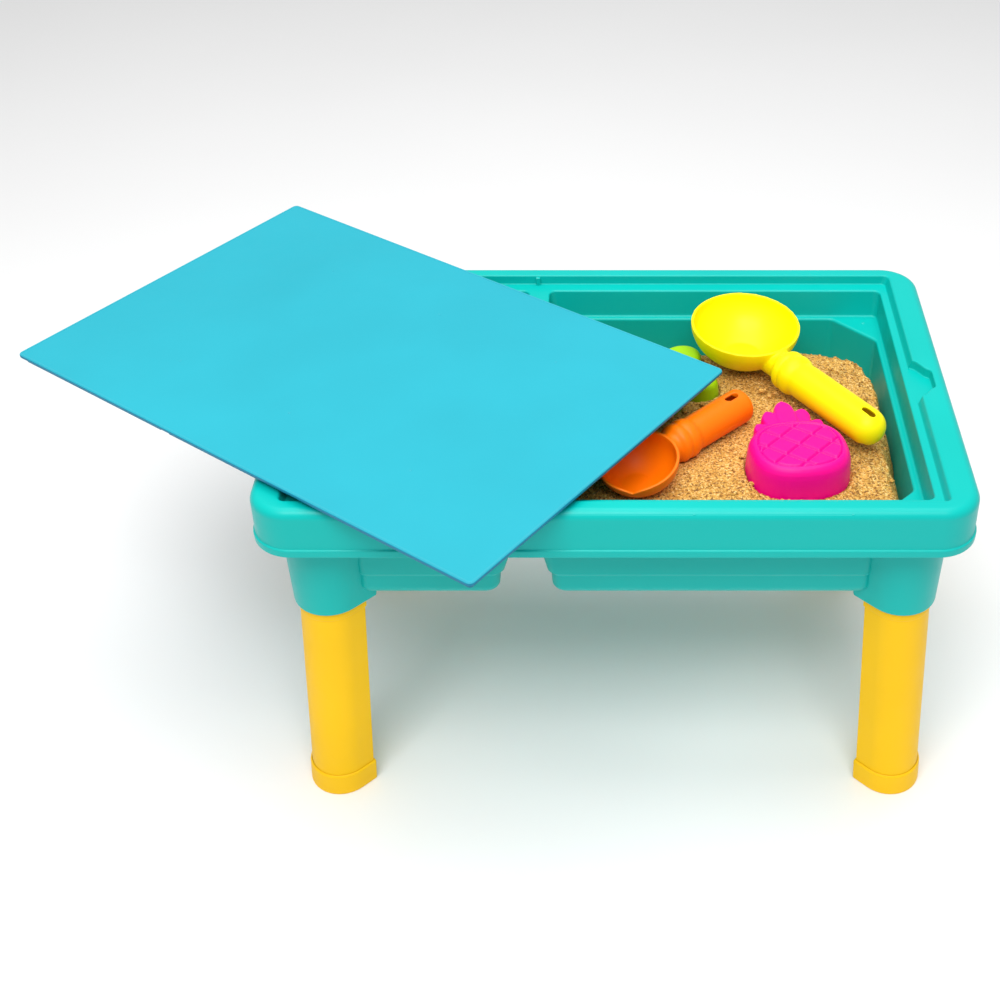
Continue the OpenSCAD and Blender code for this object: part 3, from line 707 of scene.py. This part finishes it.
def slab(name, x, y, r, low, high, r_low, r_high):
    """A flat plate with rounded corners and rounded upper and lower edges."""
    rows = [(-r_low * (1 - math.sin(a)), low + r_low * (1 - math.cos(a))) for a in quarter(4)]
    rows += [(-r_high * (1 - math.cos(a)), high - r_high * (1 - math.sin(a))) for a in quarter(5)]
    return loft(name, [at_z(oblong(x + g, y + g, r + g, 8), z) for g, z in rows])


def edge_bead():
    """A low bead that runs round the lid's upper edge."""
    rows = [(1.0, -0.4), (1.0, 0.12), (1.3, 0.22), (2.2, 0.22), (2.6, 0.1), (2.6, -0.4)]
    return ring_skin("bead", [at_z(oblong(LID_X - i, LID_Y - i, LID_R - i, 8), LID_H + up) for i, up in rows])


def build_lid():
    low, inset, skin = LID_H - LID_PLATE, 4.0, 2.5
    sx, sy = LID_X - inset, LID_Y - inset
    lid = slab("lid", LID_X, LID_Y, LID_R, low, LID_H, 0.5, 1.1)
    joined(lid, slab("skirt", sx, sy, 3, 0, low + 0.5, 0.6, 0.2))
    hollow = slab("hollow", sx - skin, sy - skin, 2, -2, low, 0.1, 0.8)
    notches = [block("notch", (x - 5, x + 5), (y - 6, y + 6), (-1, low + 0.01), 0.1)
               for x in (-KEY_X, KEY_X) for y in (-sy, sy)]
    cut_by(lid, hollow, *notches)
    rib = low - 1.5
    parts = [block("rib", (x - 0.9, x + 0.9), (1 - sy, sy - 1), (low - rib, low + 0.2), 0.3)
             for x in (-LID_X / 2, 0, LID_X / 2)]
    parts += [block("rib", (1 - sx, sx - 1), (y - 0.9, y + 0.9), (low - rib, low + 0.2), 0.3)
              for y in (-LID_Y / 3, LID_Y / 3)]
    parts.append(edge_bead())
    gate_x, gate_y = 130 * LID_X / 252, 92 * LID_Y / 165.5
    parts += [gate_pip(x, y, LID_H, 1.1) for x in (-gate_x, 0, gate_x) for y in (-gate_y, gate_y)]
    joined(lid, *parts)
    shifted(lid, Matrix.Translation(LID_AT) @ Matrix.Rotation(math.radians(LID_TURN), 4, "Z"))
    return settle(lid, "lid_panel", BLUE, "lid", "lid_plastic", "lid")


# ---- scoops ----

BOWL_R, BOWL_DEPTH, HANDLE_REACH, HANDLE_R = 48.5, 37.0, 176.0, 15.8
SMALL_R, SMALL_DEPTH, SMALL_REACH, SMALL_HANDLE_R = 34.0, 27.0, 126.0, 15.0
YELLOW_AT, YELLOW_TURN, YELLOW_TILT, YELLOW_DROP = spot(0.143, 0.512, 5), -55.0, 4.0, 17.0
ORANGE_AT, ORANGE_TURN, ORANGE_RAKE, ORANGE_DROP = spot(-0.53, -0.668, -14), 43.9, 11.5, 7.0

BOWL_FLAT = 0.36  # share of a bowl's radius that is flat bottom
BOWL_FLARE = 1.6  # 1 makes the sides elliptical, and more makes them straighter
SLOT_HALF, SLOT_R = 4, 3
DIP_DEPTH, DIP_SPREAD, DIP_ANGLES = 7.0, 10, (141.6, 218.4)


def bowl_profile(r, depth, inset, top):
    """Half section of a bowl with a flat bottom and flaring sides, from the axis up to the axis."""
    flat = r * BOWL_FLAT
    side = [(flat + (r * (1 - BOWL_FLAT) - inset) * math.sin(a) ** BOWL_FLARE, (inset - depth) * math.cos(a))
            for a in quarter(14)]
    return [(0, inset - depth)] + side + [(r - inset, top), (0, top)]


def handle_profile(reach, start, r, round_end):
    """Half section of a handle: a neck at the bowl, a collar with a shallow waist, and a rounded end."""
    e = r if round_end else r * 0.3
    neck, ring = r * 0.83, r * 1.13
    rows = [(0, start * 0.5), (neck, start * 0.5), (neck, start + 3.5), (neck + 0.8, start + 5.5),
            (ring - 1.2, start + 8), (ring - 0.2, start + 9.8), (ring, start + 11.5),
            (ring - 0.2, start + 13.5), (ring - 1.0, start + 15.2), (ring - 0.9, start + 16.2),
            (ring + 0.1, start + 18),
            (ring + 0.3, start + 20.5), (ring, start + 23), (ring - 0.8, start + 25.2), (r - 0.2, start + 28),
            (r - 0.3, start + 30), (r, start + 36), (r, reach - e)]
    end = [(r - e + e * math.cos(a), reach - e + e * math.sin(a)) for a in quarter(8)[1:]]
    return rows + end + [(0, reach)]


def handle_hollow_profile(reach, start, r):
    w = TOY_WALL
    return [(0, start + 9), (r - w - 1, start + 9), (r - w, start + 14), (r - w, reach - r * 0.75),
            (r * 0.45, reach - w - 1.5), (0, reach - w)]


def hang_slot(r):
    """The oval hole near a handle's end."""
    pts = [(sx * SLOT_HALF + SLOT_R * math.cos(a + turn), SLOT_R * math.sin(a + turn))
           for sx, turn in ((1, -math.pi / 2), (-1, math.pi / 2)) for a in np.linspace(0, math.pi, 13)]
    return loft("slot", [at_z(np.array(pts), z) for z in (0, 3 * r)])


def build_scoop(name, size, tilt, rake, round_end, place, material, toy):
    """One scoop about its bowl's rim centre, handle along +X; tilt turns the bowl alone."""
    r, depth, reach, hr, drop = size
    along = Matrix.Translation((0, 0, -drop)) @ Matrix.Rotation(math.pi / 2, 4, "Y")
    lean = Matrix.Rotation(math.radians(tilt), 4, "Y")
    rise = r * math.tan(math.radians(rake))
    handle = shifted(turned("handle", handle_profile(reach, r, hr, round_end)), along)
    hollow = shifted(turned("hollow", handle_hollow_profile(reach, r, hr)), along)
    channel = block("channel", (r + 30, reach - 8), (-hr * 0.66, hr * 0.66), (-drop - 3 * hr, -drop), 1.0)
    cut_by(handle, hollow, channel)
    bowl = shifted(turned("bowl", bowl_profile(r, depth, 0.0, rise + 0.01), 96), lean)
    joined(bowl, handle)
    scoop = cut_by(bowl, shifted(turned("inner", bowl_profile(r, depth, TOY_WALL, 30), 96), lean),
                   shifted(hang_slot(hr), Matrix.Translation((reach - hr, 0, -drop))))
    if rake:
        cut_by(scoop, wavy_cut(r, rake))
    melted(scoop, 0.7, 7)
    shifted(scoop, place)
    return settle(scoop, name, material, toy, toy.replace("scoop", "plastic"), toy, sharp=60)


def wavy_cut(r, rake):
    """What is taken off above the orange scoop's rim.
    The rim falls away from the handle and has two pointed dips."""
    n, rows = 120, []
    slope = math.tan(math.radians(rake))
    for radius in (0.5, r * 0.5, r - TOY_WALL - 1, r, r + 6):
        ring = []
        for i in range(n):
            a = 2 * math.pi * i / n
            dip = sum(DIP_DEPTH * math.exp(-abs(math.degrees(a) - at) / DIP_SPREAD) for at in DIP_ANGLES)
            z = slope * r * math.cos(a) - dip * min(1, radius / r)
            ring.append((radius * math.cos(a), radius * math.sin(a), z))
        rows.append(ring)
    above = [[(x, y, 40) for x, y, _ in ring] for ring in reversed(rows)]
    cutter = loft("wavy", rows + above)
    handle_side = block("keep", (r - 2.5, 3 * r), (-r, r), (-r, 60), 0.2)
    return cut_by(cutter, handle_side)


def build_scoops():
    yellow = Matrix.Translation(YELLOW_AT) @ Matrix.Rotation(math.radians(YELLOW_TURN), 4, "Z")
    orange = Matrix.Translation(ORANGE_AT) @ Matrix.Rotation(math.radians(ORANGE_TURN), 4, "Z")
    large = (BOWL_R, BOWL_DEPTH, HANDLE_REACH, HANDLE_R, YELLOW_DROP)
    small = (SMALL_R, SMALL_DEPTH, SMALL_REACH, SMALL_HANDLE_R, ORANGE_DROP)
    return [build_scoop("yellow_scoop_shell", large, YELLOW_TILT, 0, True, yellow, YELLOW, "yellow_scoop"),
            build_scoop("orange_scoop_shell", small, 0, ORANGE_RAKE, False, orange, ORANGE, "orange_scoop")]


# ---- moulds ----

PINE_W, PINE_D, PINE_H, PINE_TURN = 85.0, 75.0, 31.0, 8.0
PINE_AT = spot(0.376, -0.557, -41)
STAR_R, STAR_H, STAR_TURN = 53.0, 23.0, 53.5
STAR_AT = spot(-0.373, 0.281, -45)
STAR_SLIP = 6.0  # the bed is wider by this on the side that the star is lifted towards
GROOVE, GROOVE_HALF, GROOVE_PITCH, GROOVE_SLANT = 1.9, 1.35, 17.7, math.radians(41)
FIELD_X, FIELD_Y = 33.5, 28.5


def oval(a, b, p, n=64):
    t = np.arange(n) * 2 * math.pi / n
    c, s = np.cos(t), np.sin(t)
    return np.column_stack((a * np.sign(c) * np.abs(c) ** p, b * np.sign(s) * np.abs(s) ** p))


def pine_body(inset, top, low):
    rows = [(0, 0.0, 0.82), (0.7, 0.5, 0.82), (1.2, 0.66, 0.82), (2.1, 0.79, 0.82), (3.4, 0.88, 0.83),
            (5.2, 0.95, 0.83), (7.6, 0.988, 0.84), (10.0, 1.0, 0.85)]
    rings = [at_z(oval(PINE_W / 2 - inset - i, PINE_D / 2 - inset - i, p), low if k == 0 else top * share)
             for k, (i, share, p) in enumerate(rows)]
    return loft("body", rings)


def leaf(length, width, high, low, turn):
    """One leaf: a blunt-pointed lobe with a slightly domed top."""
    def lobe(g, z):
        w, tip = width - g, length - g
        side = [(0, 1.0), (tip - 1.5 * w, 1.0), (tip - 0.95 * w, 0.93), (tip - 0.5 * w, 0.72),
                (tip - 0.16 * w, 0.38)]
        pts = [(x, -k * w) for x, k in side] + [(tip, 0)] + [(x, k * w) for x, k in reversed(side)]
        return [(x, y, z + (0.9 * (1 - abs(y) / w) if z == high else 0)) for x, y in pts]
    rings = [lobe(0, low), lobe(0.3, high * 0.7), lobe(0.9, high * 0.92), lobe(2.0, high)]
    return shifted(loft("leaf", rings), Matrix.Rotation(math.radians(turn), 4, "Z"))


def leaves(shrink, high, low):
    """Five leaves, numbered -2 to 2."""
    return [leaf(PINE_D * 0.91 - abs(a) * 9 - shrink, PINE_W * (0.112 - 0.007 * abs(a)) - shrink,
                 high - abs(a) * 1.2, low, 90 - a * (14.4 + 1.2 * abs(a))) for a in (-2, -1, 0, 1, 2)]


def groove_depth(x, y):
    """Depth of the quilting on the pineapple's top: two crossing families of lines inside an oval field."""
    field = (abs(x) / FIELD_X) ** 2.5 + (abs(y) / FIELD_Y) ** 2.5
    depth = 0.0
    for sign in (-1, 1):
        across = x * math.sin(GROOVE_SLANT) * sign + y * math.cos(GROOVE_SLANT)
        off = abs((across / GROOVE_PITCH + 0.5) % 1.0 - 0.5) * GROOVE_PITCH
        depth = max(depth, 1.0 - off / GROOVE_HALF)
    depth = max(0.0, depth) if field < 1 else 0.0
    border = max(0.0, 1.0 - abs(field - 1) / 0.085)
    return GROOVE * min(1.0, max(depth, border * 0.6) * 1.4)


def build_pineapple():
    mould = joined(pine_body(0, PINE_H, 0), *leaves(0, PINE_H - 5, 0))
    inner_top = PINE_H - TOY_WALL - 1
    cut_by(mould, pine_body(TOY_WALL, inner_top, -1), *leaves(TOY_WALL, inner_top - 5, -1))
    melted(mould, 0.7, 7)
    for v in mould.data.vertices:
        if v.co.z > PINE_H - 2.2:
            v.co.z -= groove_depth(v.co.x, v.co.y)
    shifted(mould, Matrix.Translation(PINE_AT) @ Matrix.Rotation(math.radians(PINE_TURN), 4, "Z"))
    return settle(mould, "pineapple_mould_shell", PINK, "pineapple_mould", "pink_plastic", "pineapple_mould",
                  sharp=70)


def star_reach(angle):
    """How far the star's outline reaches at an angle about its middle."""
    return STAR_R * (0.58 + 0.42 * abs(math.cos(2.5 * (angle - math.radians(STAR_TURN)))))


def star_ring(inset, z, n=120):
    angles = [2 * math.pi * i / n for i in range(n)]
    return [((star_reach(t) - inset) * math.cos(t), (star_reach(t) - inset) * math.sin(t), z) for t in angles]


def star_rings(inset, top):
    rows = [(0, 0), (0.6, 0.45), (1.2, 0.68), (2.0, 0.82), (3.4, 0.92), (5.6, 0.98), (8.5, 1.0)]
    return [star_ring(inset + i, top * share) for i, share in rows]


def build_star():
    inner, outer = star_rings(TOY_WALL, STAR_H - TOY_WALL), star_rings(0, STAR_H)
    star = loft("star", inner[::-1] + outer, [(0, 0, STAR_H - TOY_WALL), (0, 0, STAR_H)])
    melted(star, 0.8, 6)
    shifted(star, Matrix.Translation(STAR_AT))
    return settle(star, "star_mould_shell", GREEN, "star_mould", "green_plastic", "star_mould", sharp=70)


# ---- sand ----

SAND_STEP = 1.15
SAND_DEEP = 60.0  # sand lower than this is out of every toy's reach
TOY_GAP, STAR_GAP, WALL_GAP = 0.45, 0.6, 0.5
CLODS = 420
CLEAR_OF_WALL = 9


def bump(x, y, cx, cy, size, high):
    return high * math.exp(-((x - cx) ** 2 + (y - cy) ** 2) / (2 * size * size))


def fall(t):
    return 1 / (1 + math.exp(-t))


def crumbs(x, y, size, seed):
    """Noise at one grain size, from -1 to 1."""
    return noise.noise(Vector((x / size, y / size, seed)))


def heap(x, y):
    """Height of the sand about the basin's middle: a heap that stops short of the rear and right walls."""
    wander = 0.10 * crumbs(x, y, 26, 3.1) + 0.05 * crumbs(x, y, 8, 9.7)
    edge = (max(0, (x - 0.45 * SAND_HALF) / (0.51 * SAND_HALF)) ** 2.6
            + max(0, (y - 0.2 * BASIN_Y) / (0.5 * BASIN_Y)) ** 2.6) + wander
    z = -39 + bump(x, y, 105, 30, 36, 10) + bump(x, y, 60, 10, 34, 9) + bump(x, y, -20, -40, 50, 7)
    z -= bump(x, y, -145, -120, 40, 14)
    slope = fall(9 * (edge - 1))
    rough = 1 + 3.2 * math.exp(-((edge - 1) / 0.45) ** 2)
    z += rough * (1.0 * crumbs(x, y, 13, 0.3) + 0.55 * crumbs(x, y, 5.2, 4.4))
    z += (0.95 * max(-0.1, crumbs(x, y, 6.0, 5.5)) + 0.9 * abs(crumbs(x, y, 3.6, 1.9))
          + 0.5 * crumbs(x, y, 2.2, 7.9))
    return z - 48 * slope


def toy_floor(trees, x, y, reach=1.3):
    """The lowest toy surface above a place on the sand, looked for a little round about too."""
    low = 1e9
    for dx, dy in ((0, 0), (reach, 0), (-reach, 0), (0, reach), (0, -reach)):
        for tree in trees:
            hit = tree.ray_cast(Vector((x + dx, y + dy, -150)), UP)[0]
            if hit is not None:
                low = min(low, hit.z)
    return low


def in_rim_frame(obj):
    """A piece's surface in the drawing's own millimetres."""
    back = Matrix.Diagonal((1 / MM, 1 / MM, 1 / MM, 1)) @ Matrix.Translation(-CENTRE)
    verts = [back @ v.co for v in obj.data.vertices]
    return BVHTree.FromPolygons(verts, [tuple(p.vertices) for p in obj.data.polygons])


def star_shadow(x, y):
    """Whether a place lies under the star mould or where it slips to as it is lifted."""
    dx, dy = x - STAR_AT.x, y - STAR_AT.y
    for slip in (0, STAR_SLIP / 3, STAR_SLIP * 2 / 3, STAR_SLIP):
        r, t = math.hypot(dx + slip, dy), math.atan2(dy, dx + slip)
        if r < star_reach(t) + 0.8:
            return True
    return False


def build_sand(toys):
    """The heap, pressed down under every toy; gives back the points of its upper surface."""
    nx, ny = round(2 * SAND_HALF / SAND_STEP), round(2 * BASIN_Y / SAND_STEP)
    trees = [in_rim_frame(t) for t in toys]
    top = []
    for j in range(ny + 1):
        for i in range(nx + 1):
            x, y = (2 * i / nx - 1) * SAND_HALF, (2 * j / ny - 1) * BASIN_Y
            z = heap(x, y)
            if z > -SAND_DEEP:
                z = min(z, toy_floor(trees, SAND_MID + x, y) - TOY_GAP)
            if z > STAR_AT.z - STAR_GAP and star_shadow(SAND_MID + x, y):
                z = STAR_AT.z - STAR_GAP
            top.append((SAND_MID + x, y, z))
    low = [(x, y, -BASIN - 5) for x, y, _ in top]
    n, row = len(top), nx + 1
    up = [(j * row + i, j * row + i + 1, (j + 1) * row + i + 1, (j + 1) * row + i)
          for j in range(ny) for i in range(nx)]
    down = [tuple(n + v for v in reversed(f)) for f in up]
    edge = ([i for i in range(row)] + [j * row + nx for j in range(1, ny + 1)]
            + [ny * row + i for i in range(nx - 1, -1, -1)] + [j * row for j in range(ny - 1, 0, -1)])
    side = [(edge[k - 1], n + edge[k - 1], n + edge[k], edge[k]) for k in range(len(edge))]
    sand = make("sand", top + low, up + down + side)
    combined(sand, [basin(RIGHT_X0, RIGHT_LEAN, -WALL_GAP)], "INTERSECT")
    settle(sand, "sand_heap", SAND, "table", "sand", "sand_fill", sharp=180)
    return top


def build_clods(surface):
    """Loose crumbs of sand, most of them along the heap's broken edges."""
    rng = np.random.default_rng(7)
    verts, faces = [], []
    ball = bmesh.new()
    bmesh.ops.create_icosphere(ball, subdivisions=2, radius=1)
    shape = [v.co.copy() for v in ball.verts]
    ball.verts.index_update()
    tris = [tuple(v.index for v in f.verts) for f in ball.faces]
    ball.free()
    heights = {(round(x / SAND_STEP), round(y / SAND_STEP)): z for x, y, z in surface}
    count = 0
    while count < CLODS:
        x, y = surface[rng.integers(len(surface))][:2]
        key = (round(x / SAND_STEP), round(y / SAND_STEP))
        z = heights[key]
        natural = heap(x - SAND_MID, y)
        around = [heights.get((key[0] + a, key[1] + b), z) for a, b in ((3, 0), (-3, 0), (0, 3), (0, -3))]
        steep = max(around) - min(around)
        near_wall = (abs(y) > BASIN_Y - CLEAR_OF_WALL or x > BASIN_X - CLEAR_OF_WALL
                     or x < SAND_X0 + CLEAR_OF_WALL)
        if z < -70 or abs(z - natural) > 0.01 or near_wall or rng.random() > 0.12 + steep / 9:
            continue
        if min(around) < z - 9 or any(abs(h - heap(x - SAND_MID, y)) > 12 for h in around):
            continue
        size = 0.7 + 1.5 * rng.random() ** 2.5
        stretch = Vector((1 + 0.5 * rng.random(), 1 + 0.5 * rng.random(), 0.6 + 0.3 * rng.random()))
        seed = 50 * rng.random()
        start = len(verts)
        for v in shape:
            lump = size * (1 + 0.45 * noise.noise(v * 1.7 + Vector((seed, 0, 0))))
            verts.append((x + v.x * lump * stretch.x, y + v.y * lump * stretch.y,
                          z + 0.15 * size + v.z * lump * stretch.z))
        faces += [tuple(start + i for i in t) for t in tris]
        count += 1
    return settle(make("clods", verts, faces), "sand_crumbs", SAND, "table", "sand", sharp=180)


# ---- the whole object ----

build_tub()
build_lid()
for quarter_key, quarter_matrix in QUARTERS.items():
    build_leg(quarter_key, quarter_matrix)
    build_foot(quarter_key, quarter_matrix)
toy_pieces = build_scoops() + [build_pineapple(), build_star()]
build_clods(build_sand(toy_pieces))


# ---- floor, light and camera, in metres ----

FLOOR_HALF = 9
CAMERA_BACK, CAMERA_UP = 1.033, 0.701
CAMERA_PITCH = 51  # degrees up from straight down
LENS, LENS_SHIFT = 52.704, -0.1149  # millimetres, and a share of the frame's width


def build_floor():
    h = FLOOR_HALF
    floor = make("floor", [(-h, -h, 0), (h, -h, 0), (h, h, 0), (-h, h, 0)], [(0, 1, 2, 3)])
    material, tree, surface = shader("pale_floor")
    tone = noise_of(tree, object_place(tree), 1.5, 3.0)
    tree.links.new(ramp_of(tree, tone, [(0.3, (0.90, 0.90, 0.90)), (0.7, (0.92, 0.92, 0.92))]),
                   surface.inputs["Base Color"])
    surface.inputs["Roughness"].default_value = 0.8
    surface.inputs["Specular IOR Level"].default_value = 0.1
    floor.data.materials.append(material)


def build_light(name, place, aim, size, power):
    lamp = bpy.data.lights.new(name, "AREA")
    lamp.shape = "RECTANGLE"
    lamp.size, lamp.size_y = size
    lamp.energy = power
    obj = bpy.data.objects.new(name, lamp)
    obj.location = place
    obj.rotation_euler = (Vector(aim) - Vector(place)).to_track_quat("-Z", "Y").to_euler()
    bpy.context.scene.collection.objects.link(obj)


def build_studio():
    world = bpy.data.worlds.new("studio")
    world.use_nodes = True
    world.node_tree.nodes["Background"].inputs["Color"].default_value = (1, 1, 1, 1)
    world.node_tree.nodes["Background"].inputs["Strength"].default_value = 0.5
    bpy.context.scene.world = world
    aim = (CENTRE.x, CENTRE.y, CENTRE.z)
    build_light("top_softbox", (CENTRE.x, CENTRE.y + 0.2, 2.3), aim, (1.8, 1.4), 25)
    build_light("front_softbox", (CENTRE.x - 0.2, CENTRE.y - 1.3, 2.4), aim, (1.8, 1.0), 46)
    bpy.context.scene.view_settings.view_transform = "Standard"


def build_camera():
    lens = bpy.data.cameras.new("camera")
    lens.sensor_width = 36
    lens.lens = LENS
    lens.shift_x = LENS_SHIFT
    lens.clip_start = 0.02
    camera = bpy.data.objects.new("camera", lens)
    camera.location = (CENTRE.x, CENTRE.y - CAMERA_BACK, CENTRE.z + CAMERA_UP)
    camera.rotation_euler = (math.radians(CAMERA_PITCH), 0, 0)
    bpy.context.scene.collection.objects.link(camera)
    bpy.context.scene.camera = camera


build_floor()
build_studio()
build_camera()
